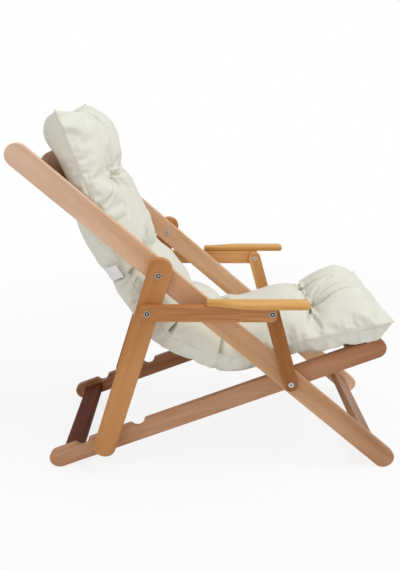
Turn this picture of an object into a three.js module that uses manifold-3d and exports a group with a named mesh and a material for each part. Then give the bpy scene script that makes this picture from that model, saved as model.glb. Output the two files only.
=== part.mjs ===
// Steamer deck chair: a folding frame of flat boards on bolted pivots, with one long padded sling.
// Millimetres, +Z up, +X to the front, +Y to the sitter's left. The origin is on the floor, under the middle of the
// whole chair. Angles are in degrees, measured from +X towards +Z in the side plane.
import * as THREE from "three";
import { mergeVertices } from "three/addons/utils/BufferGeometryUtils.js";
import Module from "manifold-3d";

// Boards and the pivot stack
const board_thickness = 20; // thickness of every board
const pivot_gap = 1.6; // air between two boards on a pivot, filled by a washer
const fit_gap = 0.3; // clearance between touching pieces
const edge_ease_width = 1.4; // eased edge of a board
const width_over_arms = 560; // across the outer faces of the two arm rails
const cut_overrun_length = 5; // how far every cutter passes the face it starts from

// Back frame: a straight rail from the foot on the floor to the head
const back_rail_width = 60;
const back_angle = 42.05; // slope of the back rail to the floor
const foot_length = 375.6; // main pivot to the centre of the round foot
const head_length = 924.6; // main pivot to the centre of the round head end
const leg_pivot_length = 470.3; // main pivot to the prop leg's pivot
const head_bar_inset = 99.6; // centre of the round head end to the middle of the head bar
const head_bar_arch_height = 40; // rise of its upper edge in the middle
const foot_stretcher_inset = 53.6; // centre of the round foot to the middle of the foot stretcher

// Seat frame
const seat_rail_width = 56;
const seat_pivot_height = 6; // main pivot above the seat rail's centre line
const seat_rear_length = 708.6; // main pivot to the centre of the round rear end
const seat_front_length = 252; // main pivot to the centre of the round front end
const rear_stretcher_inset = 41.6; // centre of the rail's rear end to the middle of the stretcher
const seat_front_bar_inset = 45; // centre of the rail's front end to the middle of the bar
const stretcher_width = 60;

// Notches for the prop bar, in the top edge of the seat rail
const notch_radius = 20;
const notch_depth = 16;
const notch_lip_radius = 7.5; // rounding of the notch's two lips
const notch_inset = 172.6; // centre of the rail's rear end to the middle notch
const notch_pitch = 88;
const notch_count = 3;
const notch_used = 1; // the notch that the prop bar stands in, counted from the front one as 0

// Prop legs and their bar
const leg_width = 62;
const leg_top_length = 15; // leg pivot to the centre of the round top end
const leg_tail_length = 18.03; // prop bar to the centre of the leg's round lower end, along the leg
const prop_bar_radius = 8;
const prop_bar_lead_offset = 6; // the bar sits this far in front of the leg's centre line
const prop_bar_socket_depth = 12; // depth of its socket in each leg

// Arms: a rail on edge, a post under its front end and a board on top
const arm_pivot_length = 100.3; // leg pivot to the arm rail's rear pivot
const arm_rail_width = 43;
const arm_rail_drop_height = 1.5; // the rail's centre line below the line of its two pivots
const arm_length = 323.2; // between the arm rail's two pivots
const arm_rear_tail_length = 21; // arm rail behind its rear pivot
const arm_front_nose_length = 13; // arm rail ahead of its front pivot
const arm_corner_radius = 13;
const post_width = 40;
const post_length = 221.8; // main pivot to the post's upper pivot
const post_tail_length = 2; // main pivot to the centre of the post's round lower end
const armrest_thickness = 16;
const armrest_length = 266;
const armrest_set_back_length = 152; // arm rail's rear pivot to the armrest's rear end
const armrest_rear_width = 24;
const armrest_width = 49;
const armrest_neck_length = 122; // length over which the armrest widens
const armrest_corner_radius = 14;
const armrest_rear_corner_radius = 7;
const armrest_bullnose_radius = 5;
const screw_radius = 2.5;
const screw_head_radius = 5;
const screw_bite_depth = 10; // screw tip into the armrest
const screw_head_height = 3;
const screw_sink_depth = 8; // screw head above the arm rail's lower edge
const screw_rear_inset = 45; // from the armrest's rear end
const screw_front_inset = 60; // from the arm rail's front pivot, to the rear

// Tenons of the stretchers
const tenon_width = 40;
const tenon_thickness = 10;
const tenon_length = 12;

// Pivot bolts
const bolt_radius = 4;
const bolt_head_radius = 8;
const bolt_head_height = 3;
const bolt_socket_radius = 3.2;
const bolt_socket_depth = 2;
const sleeve_radius = 6; // barrel of the nut
const sleeve_wall_thickness = 1.6;
const nut_cap_height = 2.4;
const open_nut_cap_height = 1.2; // of the arm's front nut, which passes beside the back rail when the arm folds
const sleeve_length = 15;
const washer_radius = 9;

// Cushion
const cushion_back_length = 925;
const cushion_cut_radius = 300; // main pivot to the arc that parts the cushion's back from its seat
const cushion_cut_gap = 0.6;
const cushion_depth = 112; // how far its middle hangs behind the rails
const cushion_half_thickness = 80;
const cushion_half_width = 214;
const cushion_seat_length = 330;
const cushion_seat_height = 72;
const cut_facets = 160;
const rings_around = 20;
const steps_per_row = 2;
const crown_power = 2.6; // of the cushion's cross-section above its seam
const crown_share = 0.62;
const base_power = 4; // and below it
const base_share = 0.5;
const tuft_offset_share = 0.42; // tufts this share of the half width from the middle
const tuft_spread_share = 0.2;
const underside_pull_share = 0.3; // how much of a tuft's pull reaches the underside

const colours = {
  rail: 0xcfa27a,
  leg: 0xb5784a,
  armrest: 0xcf9a52,
  steel: 0xb9bbbd,
  canvas: 0xdcd9c8,
};

const wasm = await Module();
wasm.setup();

// Places in the side plane
const rad = THREE.MathUtils.degToRad;
const polar = (angle, reach) => new THREE.Vector2(Math.cos(rad(angle)), Math.sin(rad(angle))).multiplyScalar(reach);
const angleOf = (v) => THREE.MathUtils.radToDeg(Math.atan2(v.y, v.x));
const back_half = back_rail_width / 2;
const seat_half = seat_rail_width / 2;
const foot = polar(-back_angle, foot_length);
const head = polar(180 - back_angle, head_length);
const main_pivot = new THREE.Vector2(-(foot.x + head.x) / 2, back_half - foot.y);

// The seat rail's slope, with its rear end on the floor
const seat_drop = main_pivot.y - seat_half;
const seat_hyp = Math.hypot(seat_rear_length, seat_pivot_height);
const seat_angle = THREE.MathUtils.radToDeg(
  Math.asin(seat_drop / seat_hyp) - Math.atan2(seat_pivot_height, seat_rear_length),
);

// A point in a rail's own frame: along the rail from the main pivot, and square to it, upwards on the seat rail
const onRail = (angle, along, up) =>
  main_pivot.clone().add(polar(angle, along)).add(polar(angle + 90, up));
const onSeat = (along, up) => onRail(seat_angle, along, up);
const onBack = (along, up) => onRail(180 - back_angle, along, up);

// Middles of the boards that run across, from the ends of the rails that carry them
const head_bar_at = head_length - head_bar_inset;
const foot_stretcher_at = foot_length - foot_stretcher_inset;
const rear_stretcher_at = seat_rear_length - rear_stretcher_inset;
const seat_front_bar_at = seat_front_length - seat_front_bar_inset;

const leg_pivot = onBack(leg_pivot_length, 0);
const seat_top = seat_half - seat_pivot_height; // the seat rail's top edge above the main pivot
const notch_centre_up = seat_top + notch_radius - notch_depth;
const notch_at = seat_rear_length - notch_inset;
const notches = Array.from({ length: notch_count }, (_, i) => -(notch_at + (i - notch_used) * notch_pitch));
const bar_at = onSeat(notches[notch_used], notch_centre_up - (notch_radius - prop_bar_radius - fit_gap));
const to_bar = bar_at.clone().sub(leg_pivot);
const leg_angle = angleOf(to_bar) - THREE.MathUtils.radToDeg(Math.asin(prop_bar_lead_offset / to_bar.length()));
const leg_end_at = Math.sqrt(to_bar.lengthSq() - prop_bar_lead_offset ** 2) + leg_tail_length;
const arm_rear_pivot = leg_pivot.clone().add(polar(leg_angle, arm_pivot_length));

// The arm rail and the post close a four-bar linkage with the leg and the back rail
function apex(a, b, from_a, from_b) {
  const span = b.clone().sub(a);
  const d = span.length();
  const along = (from_a ** 2 - from_b ** 2 + d ** 2) / (2 * d);
  const up = Math.sqrt(from_a ** 2 - along ** 2);
  const dir = span.divideScalar(d);
  return a.clone().addScaledVector(dir, along).addScaledVector(new THREE.Vector2(-dir.y, dir.x), up);
}
const arm_front_pivot = apex(arm_rear_pivot, main_pivot, arm_length, post_length);
const arm_angle = angleOf(arm_front_pivot.clone().sub(arm_rear_pivot));
const post_angle = angleOf(arm_front_pivot.clone().sub(main_pivot));

// Layers across the chair, from the outside in: the outer face of each board
const layer = (n) => width_over_arms / 2 - n * (board_thickness + pivot_gap);
const arm_face = layer(0);
const leg_face = layer(1);
const back_face = layer(2);
const seat_face = layer(3);

// Solids
function solid(geometry) {
  const bare = geometry.index ? geometry.toNonIndexed() : geometry.clone();
  bare.deleteAttribute("normal");
  bare.deleteAttribute("uv");
  const merged = mergeVertices(bare, 1e-4);
  return new wasm.Manifold(
    new wasm.Mesh({
      numProp: 3,
      vertProperties: new Float32Array(merged.attributes.position.array),
      triVerts: new Uint32Array(merged.index.array),
    }),
  );
}

function geometryOf(made) {
  const mesh = made.getMesh();
  const geometry = new THREE.BufferGeometry();
  geometry.setAttribute("position", new THREE.BufferAttribute(new Float32Array(mesh.vertProperties), 3));
  geometry.setIndex(new THREE.BufferAttribute(new Uint32Array(mesh.triVerts), 1));
  return geometry;
}

// A flat outline made a board that stands in the side plane, its outer face at y = face on the given side
function boardFrom(outline, thickness, face, side, ease = edge_ease_width) {
  const geometry = new THREE.ExtrudeGeometry(outline, {
    depth: thickness - 2 * ease,
    bevelEnabled: true,
    bevelThickness: ease,
    bevelSize: ease,
    bevelOffset: -ease,
    bevelSegments: 1,
    curveSegments: 6,
  });
  geometry.translate(0, 0, ease);
  geometry.rotateX(Math.PI / 2); // the outline's y becomes z, and its depth runs to -y
  geometry.translate(0, side > 0 ? face : thickness - face, 0);
  return solid(geometry);
}

// A cylinder along Y between two y values
function rod(radius, at, y0, y1, sides = 24) {
  const geometry = new THREE.CylinderGeometry(radius, radius, Math.abs(y1 - y0), sides);
  geometry.translate(at.x, (y0 + y1) / 2, at.y);
  return solid(geometry);
}

// A box in a rail's frame, centred at a point of the side plane and turned by the rail's angle
function block(length, width, height, at, angle, y) {
  const geometry = new THREE.BoxGeometry(length, width, height);
  geometry.rotateY(-rad(angle));
  geometry.translate(at.x, y, at.y);
  return solid(geometry);
}

// The outline of a straight board with two round ends, from one end centre to the other
function roundEnded(a, b, half) {
  const turn = Math.atan2(b.y - a.y, b.x - a.x);
  const shape = new THREE.Shape();
  shape.absarc(a.x, a.y, half, turn + Math.PI / 2, turn + 1.5 * Math.PI, false);
  shape.absarc(b.x, b.y, half, turn - Math.PI / 2, turn + Math.PI / 2, false);
  shape.closePath();
  return shape;
}

function boltHole(shape, at, radius) {
  const hole = new THREE.Path();
  hole.absarc(at.x, at.y, radius + fit_gap, 0, 2 * Math.PI, true);
  shape.holes.push(hole);
}

// The seat rail's outline, drawn level and then turned about the main pivot
function seatRailShape() {
  const low = -seat_half - seat_pivot_height;
  const mid = -seat_pivot_height;
  const lip = notch_lip_radius;
  const lip_rise = notch_centre_up - seat_top + lip;
  const lip_run = Math.sqrt((notch_radius + lip) ** 2 - lip_rise ** 2);
  const lip_turn = Math.atan2(lip_rise, lip_run);
  const shape = new THREE.Shape();
  shape.absarc(-seat_rear_length, mid, seat_half, 1.5 * Math.PI, 0.5 * Math.PI, true);
  for (const at of [...notches].sort((a, b) => a - b)) {
    shape.absarc(at - lip_run, seat_top - lip, lip, 0.5 * Math.PI, lip_turn, true);
    shape.absarc(at, notch_centre_up, notch_radius, Math.PI + lip_turn, 2 * Math.PI - lip_turn, false);
    shape.absarc(at + lip_run, seat_top - lip, lip, Math.PI - lip_turn, 0.5 * Math.PI, true);
  }
  shape.absarc(seat_front_length, mid, seat_half, 0.5 * Math.PI, -0.5 * Math.PI, true);
  shape.lineTo(-seat_rear_length, low);
  const points = shape.getPoints(5).map((p) => onSeat(p.x, p.y));
  return new THREE.Shape(points.reverse());
}

// Blind mortise in a rail's inner face for a stretcher's tenon
function mortise(at, angle, inner_face, side) {
  const deep = tenon_length + fit_gap + cut_overrun_length;
  const y = side * (inner_face + tenon_length + fit_gap - deep / 2);
  return block(tenon_width + 2 * fit_gap, deep, tenon_thickness + 2 * fit_gap, at, angle, y);
}

function stretcher(at, angle, rail_face, arch = 0) {
  const inner = rail_face - board_thickness - fit_gap;
  const outline = new THREE.Shape();
  const half = stretcher_width / 2;
  outline.moveTo(-half, -inner);
  outline.lineTo(half, -inner);
  outline.lineTo(half, inner);
  outline.lineTo(-half, inner);
  if (arch > 0) outline.quadraticCurveTo(-half - 2 * arch, 0, -half, -inner);
  const geometry = new THREE.ExtrudeGeometry(outline, {
    depth: board_thickness - 2 * edge_ease_width,
    bevelEnabled: true,
    bevelThickness: edge_ease_width,
    bevelSize: edge_ease_width,
    bevelOffset: -edge_ease_width,
    bevelSegments: 1,
  });
  geometry.translate(0, 0, edge_ease_width - board_thickness / 2);
  geometry.rotateY(-rad(angle));
  geometry.translate(at.x, 0, at.y);
  const span = 2 * (inner + fit_gap + tenon_length);
  return solid(geometry).add(block(tenon_width, span, tenon_thickness, at, angle, 0));
}

// Pivot hardware: a bolt from the outside and a barrel nut from the inside
function lathe(points, at, y, side) {
  const profile = points.map(([r, h]) => new THREE.Vector2(r, h));
  const geometry = new THREE.LatheGeometry(profile, 16);
  if (side < 0) geometry.rotateX(Math.PI);
  geometry.translate(at.x, side * y, at.y);
  return solid(geometry);
}

// Heights run outwards from the face that the head bears on
const boltSolid = (at, face, length, side) =>
  lathe(
    [
      [0, -length],
      [bolt_radius, -length],
      [bolt_radius, fit_gap],
      [bolt_head_radius, fit_gap],
      [bolt_head_radius, bolt_head_height / 2],
      [bolt_head_radius - bolt_head_height / 2, bolt_head_height],
      [bolt_socket_radius, bolt_head_height],
      [bolt_socket_radius, bolt_head_height - bolt_socket_depth],
      [0, bolt_head_height - bolt_socket_depth],
    ],
    at,
    face,
    side,
  );

const nutSolid = (at, face, length, cap, side) =>
  lathe(
    [
      [0, -cap],
      [bolt_head_radius - cap / 2, -cap],
      [bolt_head_radius, -cap / 2],
      [bolt_head_radius, -fit_gap],
      [sleeve_radius, -fit_gap],
      [sleeve_radius, length],
      [sleeve_radius - sleeve_wall_thickness, length],
      [sleeve_radius - sleeve_wall_thickness, sleeve_wall_thickness],
      [0, sleeve_wall_thickness],
    ],
    at,
    face,
    side,
  );

const washerSolid = (at, mid, side) => {
  const half = pivot_gap / 2 - fit_gap;
  const bore = bolt_radius + fit_gap;
  return lathe(
    [
      [bore, -half],
      [washer_radius, -half],
      [washer_radius, half],
      [bore, half],
      [bore, -half],
    ],
    at,
    mid,
    side,
  );
};

// The chair, filled in by the sections below
const chair = new THREE.Group();
chair.name = "steamer_deck_chair";
const finishes = {
  rail: { color: colours.rail, roughness: 0.55, metalness: 0 },
  leg: { color: colours.leg, roughness: 0.5, metalness: 0 },
  armrest: { color: colours.armrest, roughness: 0.45, metalness: 0 },
  steel: { color: colours.steel, roughness: 0.3, metalness: 1 },
  canvas: { color: colours.canvas, roughness: 0.9, metalness: 0 },
};
function put(name, made, finish) {
  const mesh = new THREE.Mesh(geometryOf(made), new THREE.MeshStandardMaterial(finishes[finish]));
  mesh.name = name;
  chair.add(mesh);
}

const sides = [
  ["left", 1],
  ["right", -1],
];
const hinge_mid = (face) => face + pivot_gap / 2;

function backRail(side) {
  const shape = roundEnded(onBack(head_length, 0), onBack(-foot_length, 0), back_half);
  boltHole(shape, main_pivot, bolt_radius);
  boltHole(shape, leg_pivot, sleeve_radius);
  return boardFrom(shape, board_thickness, back_face, side)
    .subtract(mortise(onBack(head_bar_at, 0), -back_angle, back_face - board_thickness, side))
    .subtract(mortise(onBack(-foot_stretcher_at, 0), -back_angle, back_face - board_thickness, side));
}

function seatRail(side) {
  const shape = seatRailShape();
  boltHole(shape, main_pivot, sleeve_radius);
  const inner = seat_face - board_thickness;
  return boardFrom(shape, board_thickness, seat_face, side)
    .subtract(mortise(onSeat(-rear_stretcher_at, -seat_pivot_height), seat_angle, inner, side))
    .subtract(mortise(onSeat(seat_front_bar_at, -seat_pivot_height), seat_angle, inner, side));
}

function propLeg(side) {
  const shape = roundEnded(
    leg_pivot.clone().sub(polar(leg_angle, leg_top_length)),
    leg_pivot.clone().add(polar(leg_angle, leg_end_at)),
    leg_width / 2,
  );
  boltHole(shape, leg_pivot, bolt_radius);
  boltHole(shape, arm_rear_pivot, sleeve_radius);
  const inner = leg_face - board_thickness;
  const socket = rod(
    prop_bar_radius + fit_gap,
    bar_at,
    side * (inner - cut_overrun_length),
    side * (inner + prop_bar_socket_depth + fit_gap),
  );
  return boardFrom(shape, board_thickness, leg_face, side).subtract(socket);
}

function armPost(side) {
  const shape = roundEnded(
    arm_front_pivot.clone(),
    main_pivot.clone().sub(polar(post_angle, post_tail_length)),
    post_width / 2,
  );
  boltHole(shape, arm_front_pivot, sleeve_radius);
  boltHole(shape, main_pivot, bolt_radius);
  return boardFrom(shape, board_thickness, leg_face, side);
}

// Places on the arm rail: along it from its rear pivot, and square to it
const onArm = (along, up) =>
  arm_rear_pivot.clone().add(polar(arm_angle, along)).add(polar(arm_angle + 90, up));
const arm_half = arm_rail_width / 2;
const arm_top = arm_half - arm_rail_drop_height;
const arm_low = -arm_half - arm_rail_drop_height;

// A rectangle with one radius per corner, from the lower left round to the upper left
function roundedBox(x0, y0, x1, y1, [r0, r1, r2, r3]) {
  const shape = new THREE.Shape();
  shape.absarc(x0 + r0, y0 + r0, r0, Math.PI, 1.5 * Math.PI, false);
  shape.absarc(x1 - r1, y0 + r1, r1, 1.5 * Math.PI, 2 * Math.PI, false);
  shape.absarc(x1 - r2, y1 - r2, r2, 0, 0.5 * Math.PI, false);
  shape.absarc(x0 + r3, y1 - r3, r3, 0.5 * Math.PI, Math.PI, false);
  shape.closePath();
  return shape;
}

const screw_places = [armrest_set_back_length + screw_rear_inset, arm_length - screw_front_inset];

// A screw up through the arm rail into the armrest, or with a margin the hole for it
function armScrew(along, margin, side) {
  const from = margin > 0 ? arm_low - cut_overrun_length : arm_low + screw_sink_depth;
  const seat = arm_low + screw_sink_depth + screw_head_height + margin;
  const tip = arm_top + fit_gap + screw_bite_depth + margin;
  const geometry = new THREE.LatheGeometry(
    [
      [0, from],
      [screw_head_radius + margin, from],
      [screw_head_radius + margin, seat],
      [screw_radius + margin, seat],
      [screw_radius + margin, tip],
      [0, tip],
    ].map(([r, h]) => new THREE.Vector2(r, h)),
    12,
  );
  geometry.rotateX(Math.PI / 2); // the screw's axis becomes z
  geometry.translate(along, 0, 0);
  geometry.rotateY(-rad(arm_angle));
  const at = arm_rear_pivot;
  geometry.translate(at.x, side * (arm_face - board_thickness / 2), at.y);
  return solid(geometry);
}

function armRail(side) {
  const level = roundedBox(
    -arm_rear_tail_length,
    arm_low,
    arm_length + arm_front_nose_length,
    arm_top,
    [arm_corner_radius, arm_corner_radius, arm_corner_radius, arm_corner_radius],
  );
  const shape = new THREE.Shape(level.getPoints(3).map((p) => onArm(p.x, p.y)));
  boltHole(shape, arm_rear_pivot, bolt_radius);
  boltHole(shape, arm_front_pivot, bolt_radius);
  return screw_places.reduce(
    (rail, along) => rail.subtract(armScrew(along, fit_gap, side)),
    boardFrom(shape, board_thickness, arm_face, side),
  );
}

// The armrest seen from above: a straight inner edge, and an outer edge that widens to the front
function armrest(side) {
  const x0 = armrest_set_back_length;
  const x1 = x0 + armrest_length;
  const shape = new THREE.Shape();
  const neck = x0 + armrest_neck_length;
  const r = armrest_corner_radius;
  const small = armrest_rear_corner_radius;
  shape.absarc(x0 + small, small, small, Math.PI, 1.5 * Math.PI, false);
  shape.absarc(x1 - r, r, r, 1.5 * Math.PI, 2 * Math.PI, false);
  shape.absarc(x1 - r, armrest_width - r, r, 0, 0.5 * Math.PI, false);
  shape.lineTo(neck, armrest_width);
  shape.bezierCurveTo(
    neck - armrest_neck_length / 3,
    armrest_width,
    x0 + armrest_neck_length / 3,
    armrest_rear_width,
    x0 + small,
    armrest_rear_width,
  );
  shape.absarc(x0 + small, armrest_rear_width - small, small, 0.5 * Math.PI, Math.PI, false);
  const geometry = new THREE.ExtrudeGeometry(shape, {
    depth: armrest_thickness - 2 * armrest_bullnose_radius,
    bevelEnabled: true,
    bevelThickness: armrest_bullnose_radius,
    bevelSize: armrest_bullnose_radius,
    bevelOffset: -armrest_bullnose_radius,
    bevelSegments: 3,
    curveSegments: 5,
  });
  geometry.translate(0, 0, arm_top + fit_gap + armrest_bullnose_radius);
  geometry.rotateY(-rad(arm_angle));
  const inner = arm_face - board_thickness;
  geometry.translate(arm_rear_pivot.x, inner, arm_rear_pivot.y);
  let made = solid(geometry);
  if (side < 0) made = made.mirror([0, 1, 0]);
  return screw_places.reduce((rest, along) => rest.subtract(armScrew(along, fit_gap, side)), made);
}

for (const [name, side] of sides) {
  put("seat_rail_" + name, seatRail(side), "rail");
  put("back_rail_" + name, backRail(side), "rail");
  put("prop_leg_" + name, propLeg(side), "leg");
  put("arm_post_" + name, armPost(side), "armrest");
  put("arm_rail_" + name, armRail(side), "leg");
  put("armrest_" + name, armrest(side), "armrest");
  screw_places.forEach((along, i) =>
    put("armrest_screw_" + name + "_" + (i ? "front" : "rear"), armScrew(along, 0, side), "steel"),
  );
}
put("rear_stretcher", stretcher(onSeat(-rear_stretcher_at, -seat_pivot_height), seat_angle, seat_face), "rail");
put("seat_front_bar", stretcher(onSeat(seat_front_bar_at, -seat_pivot_height), seat_angle, seat_face), "rail");
put("head_bar", stretcher(onBack(head_bar_at, 0), -back_angle, back_face, head_bar_arch_height), "rail");
put("foot_stretcher", stretcher(onBack(-foot_stretcher_at, 0), -back_angle, back_face), "rail");
const bar_end = leg_face - board_thickness + prop_bar_socket_depth;
put("prop_bar", rod(prop_bar_radius, bar_at, -bar_end, bar_end), "leg");

// Each pivot: the outer board's outer face, the inner board's inner face, and the washers between
const pivots = [
  ["main", main_pivot, leg_face, seat_face - board_thickness, [back_face, seat_face], false],
  ["leg", leg_pivot, leg_face, back_face - board_thickness, [back_face], false],
  ["arm_rear", arm_rear_pivot, arm_face, leg_face - board_thickness, [leg_face], false],
  ["arm_front", arm_front_pivot, arm_face, leg_face - board_thickness, [leg_face], true],
];
for (const [name, at, outer, inner, washers, open] of pivots)
  for (const [side_name, side] of sides) {
    const tip = inner + sleeve_wall_thickness + fit_gap;
    const length = open ? board_thickness - fit_gap : outer - tip;
    put(name + "_bolt_" + side_name, boltSolid(at, outer, length, side), "steel");
    const cap = open ? open_nut_cap_height : nut_cap_height;
    put(name + "_nut_" + side_name, nutSolid(at, inner, sleeve_length, cap, side), "steel");
    washers.forEach((face, i) =>
      put(
        name + "_washer_" + (washers.length > 1 ? ["outer_", "inner_"][i] : "") + side_name,
        washerSolid(at, hinge_mid(face), side),
        "steel",
      ),
    );
  }

// The cushion: rows of shares, from the head to the front of the seat, each the middle's reach and rise, the half
// width, the swell above and below, how deep the tufts pull in and how flat the underside lies. The rows are joined by
// smooth curves, and each ring is a crowned section that draws in to a seam at its sides.
const back_rows_shares = [
  [1.0, -1.3, 1.01, 0.04, 0.04, 0, 0],
  [0.995, -1.27, 1.01, 0.35, 0.36, 0, 0],
  [0.975, -1.18, 1.0, 0.65, 0.78, 0, 0],
  [0.944, -1.04, 0.99, 0.82, 0.98, 0.08, 0],
  [0.898, -0.83, 0.98, 0.92, 0.96, 0.12, 0],
  [0.85, -0.6, 0.97, 0.97, 0.92, 0.2, 0],
  [0.8, -0.375, 0.97, 0.92, 0.9, 0.36, 0],
  [0.757, -0.14, 0.97, 0.9, 0.94, 0.2, 0],
  [0.71, 0.09, 0.98, 0.96, 1.0, 0.05, 0],
  [0.63, 0.38, 0.97, 1.0, 1.02, 0.05, 0],
  [0.565, 0.6, 0.96, 0.97, 1.0, 0.38, 0],
  [0.5, 0.79, 0.97, 1.07, 1.02, 0.1, 0],
  [0.42, 0.98, 0.97, 1.14, 1.02, 0, 0],
  [0.363, 1.12, 0.97, 1.12, 0.96, 0.25, 0],
];
const seat_rows_shares = [
  [-0.62, 2.36, 0.97, 1.14, 0.98, 0.1, 0],
  [-0.43, 1.66, 0.97, 1.18, 1.05, 0, 0],
  [-0.21, 1.36, 0.97, 0.98, 0.95, 0.1, 0],
  [0, 1.28, 0.97, 0.86, 0.85, 0, 0],
  [0.164, 1.24, 0.975, 0.88, 0.78, 0.1, 0],
  [0.324, 1.14, 0.98, 0.92, 0.74, 0.38, 0.2],
  [0.424, 1.1, 0.99, 0.94, 0.72, 0.15, 0.7],
  [0.533, 1.055, 1.0, 1.05, 0.7, 0, 1],
  [0.68, 1.0, 1.02, 1.14, 0.68, 0, 1],
  [0.8, 0.92, 1.04, 1.0, 0.62, 0, 1],
  [0.89, 0.86, 1.05, 0.68, 0.5, 0, 0.7],
  [0.95, 0.85, 1.06, 0.3, 0.25, 0, 0.3],
  [0.97, 0.85, 1.06, 0.04, 0.04, 0, 0],
];

function padded(rows, rest) {
  const middle = new THREE.CatmullRomCurve3(rows.map((r) => new THREE.Vector3(r.at.x, r.at.y, 0)));
  const sizes = new THREE.CatmullRomCurve3(rows.map((r) => new THREE.Vector3(r.half, r.above, r.below)));
  const forms = new THREE.CatmullRomCurve3(rows.map((r) => new THREE.Vector3(r.tuft, r.flat, 0)));
  const steps = (rows.length - 1) * steps_per_row;
  const n = rings_around;
  const points = [];
  for (let i = 0; i <= steps; i++) {
    const at = middle.getPoint(i / steps);
    const along = middle.getTangent(i / steps);
    const size = sizes.getPoint(i / steps);
    const form = forms.getPoint(i / steps);
    for (let j = 0; j < n; j++) {
      const turn = (2 * Math.PI * j) / n;
      const across = size.x * Math.cos(turn);
      const seam = j % (n / 2) === 0;
      const lower = j > n / 2;
      const off = (Math.abs(across) - size.x * tuft_offset_share) / (size.x * tuft_spread_share);
      const pull = form.x * Math.exp(-off * off);
      const inset = Math.abs(Math.cos(turn));
      const base = (1 - inset ** base_power) ** (base_share * (1 - THREE.MathUtils.clamp(form.y, 0, 1)));
      const crown = (1 - inset ** crown_power) ** crown_share;
      const swell = lower ? -size.z * base * (1 - pull * underside_pull_share) : size.y * crown * (1 - pull);
      const rise = seam ? 0 : swell;
      const p = new THREE.Vector2(at.x - along.y * rise, at.y + along.x * rise);
      rest(p);
      points.push(p.x, across, p.y);
    }
  }
  const index = [];
  for (let i = 0; i < steps; i++)
    for (let j = 0; j < n; j++) {
      const a = i * n + j;
      const b = i * n + ((j + 1) % n);
      index.push(a, b, a + n, b, b + n, a + n);
    }
  const last = steps * n;
  for (let j = 1; j < n - 1; j++) index.push(0, j + 1, j, last, last + j, last + j + 1);
  const geometry = new THREE.BufferGeometry();
  geometry.setAttribute("position", new THREE.Float32BufferAttribute(points, 3));
  geometry.setIndex(index);
  return solid(geometry);
}

const cushion_rows = [
  ...back_rows_shares.map(([along, behind, half, above, below, tuft, flat]) => ({
    at: onBack(along * cushion_back_length, behind * cushion_depth),
    half: half * cushion_half_width,
    above: above * cushion_half_thickness,
    below: below * cushion_half_thickness,
    tuft,
    flat,
  })),
  ...seat_rows_shares.map(([along, up, half, above, below, tuft, flat]) => ({
    at: onSeat(along * cushion_seat_length, up * cushion_seat_height),
    half: half * cushion_half_width,
    above: above * cushion_half_thickness,
    below: below * cushion_half_thickness,
    tuft,
    flat,
  })),
];

// The cushion rests on the head bar's upper face and on the top edges of the seat rails
function restOnFrame(p) {
  const from_pivot = p.clone().sub(main_pivot);
  const along = from_pivot.dot(polar(180 - back_angle, 1));
  const behind = polar(270 - back_angle, 1);
  const bar_face = -board_thickness / 2 - fit_gap;
  const off_bar = bar_face - from_pivot.dot(behind);
  const past_bar = Math.abs(along - head_bar_at - head_bar_arch_height / 2);
  const over_bar = past_bar < (stretcher_width + head_bar_arch_height + board_thickness) / 2 + board_thickness;
  if (over_bar && off_bar < 0) p.addScaledVector(behind, off_bar);
  const up = polar(seat_angle + 90, 1);
  const over_rail = from_pivot.dot(up) - seat_top - fit_gap;
  if (over_rail < 0) p.addScaledVector(up, -over_rail);
}

// One long cushion in two parts, so that the back part can turn about the main pivot: the cut between them is an arc
// about that pivot
const cushion = padded(cushion_rows, restOnFrame);
const across_cushion = cushion_half_width + cushion_half_thickness;
const behind_pivot = wasm.Manifold.cube([cushion_back_length, 2 * across_cushion, 2 * cushion_back_length], true)
  .translate([main_pivot.x - cushion_cut_radius / 2 - cushion_back_length / 2, 0, main_pivot.y + cushion_back_length]);
const arc = (radius) => rod(radius, main_pivot, -across_cushion, across_cushion, cut_facets);
put("cushion_back", cushion.intersect(behind_pivot).subtract(arc(cushion_cut_radius)), "canvas");
const taken = behind_pivot.subtract(arc(cushion_cut_radius - cushion_cut_gap));
put("cushion_seat", cushion.subtract(taken), "canvas");

export default chair;
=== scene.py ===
# Steamer deck chair: oiled boards on bolted pivots and one long tufted pad.
# Metres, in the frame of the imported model: +X to the front, +Y to the sitter's left, +Z up, floor at 0.
import math

import bpy
import numpy as np
from mathutils import Matrix, Vector
from mathutils.bvhtree import BVHTree


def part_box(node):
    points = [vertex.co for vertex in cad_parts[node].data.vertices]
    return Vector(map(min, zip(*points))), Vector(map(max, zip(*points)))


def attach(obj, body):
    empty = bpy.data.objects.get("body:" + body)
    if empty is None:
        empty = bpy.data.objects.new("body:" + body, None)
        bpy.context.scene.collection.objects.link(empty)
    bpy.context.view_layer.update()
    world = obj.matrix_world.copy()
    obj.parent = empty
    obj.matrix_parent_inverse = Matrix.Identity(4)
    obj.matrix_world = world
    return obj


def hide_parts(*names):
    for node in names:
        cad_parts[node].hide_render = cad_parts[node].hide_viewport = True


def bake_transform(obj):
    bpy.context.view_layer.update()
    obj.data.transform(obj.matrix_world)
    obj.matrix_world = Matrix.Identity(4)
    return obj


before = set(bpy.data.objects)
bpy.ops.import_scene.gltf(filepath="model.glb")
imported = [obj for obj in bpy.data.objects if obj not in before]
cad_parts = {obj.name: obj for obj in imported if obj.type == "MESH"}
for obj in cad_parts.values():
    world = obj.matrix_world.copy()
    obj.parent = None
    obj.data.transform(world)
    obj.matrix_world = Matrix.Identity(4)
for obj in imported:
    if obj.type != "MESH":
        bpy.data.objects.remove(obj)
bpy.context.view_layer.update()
bpy.ops.object.select_all(action="DESELECT")
SIDES = (("left", 1), ("right", -1))


# ---- Places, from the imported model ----
def middle(node):
    """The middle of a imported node's box."""
    low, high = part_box(node)
    return (low + high) / 2


def flat(v):
    """A point of the side plane."""
    return Vector((v.x, 0, v.z))


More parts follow.
